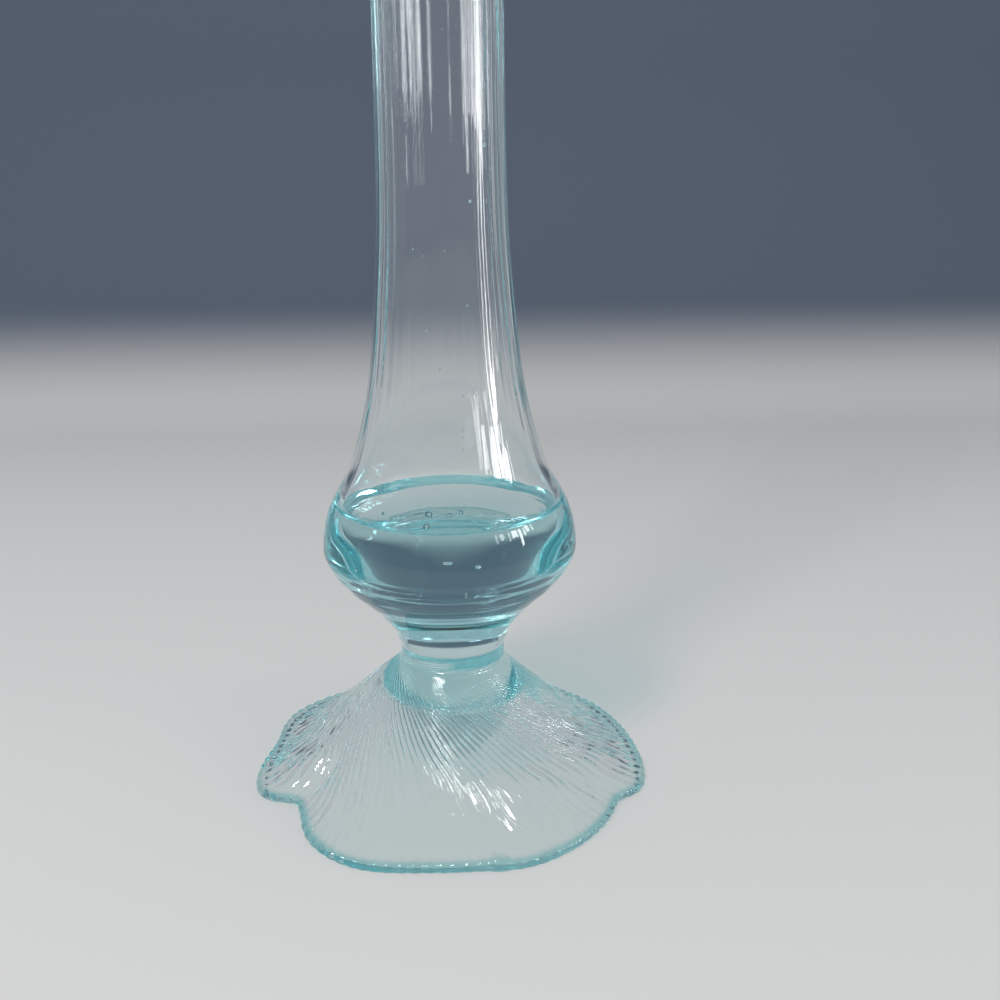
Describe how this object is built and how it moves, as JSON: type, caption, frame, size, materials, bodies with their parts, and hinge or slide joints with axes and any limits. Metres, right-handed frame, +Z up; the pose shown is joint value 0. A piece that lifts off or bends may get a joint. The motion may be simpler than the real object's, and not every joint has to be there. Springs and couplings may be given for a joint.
{
  "type": "blown glass vase",
  "caption": "Tall slim vase of pale aqua blown glass: flared mouth, drawn tube, heavy solid bulb and a hollow, finely ribbed foot with a ruffled rim.",
  "frame": {"origin": "on the table, under the middle of the foot", "axes": "+Z up along the tube, towards the mouth; -Y towards the viewer of the picture; +X to the viewer's right"},
  "size_m": [0.1049, 0.1054, 0.38],
  "materials": {
    "clear_aqua_glass": "fire-polished, clear in the thin tube and aqua where the glass is thick",
    "deep_aqua_glass": "solid aqua glass, smooth",
    "ribbed_aqua_glass": "mould-ribbed and swirled, fire-polished rim, teal at the rim's edge"
  },
  "bodies": {
    "root": {"vase_body": "clear_aqua_glass", "stem_button": "deep_aqua_glass", "foot": "ribbed_aqua_glass"}
  },
  "joints": []
}
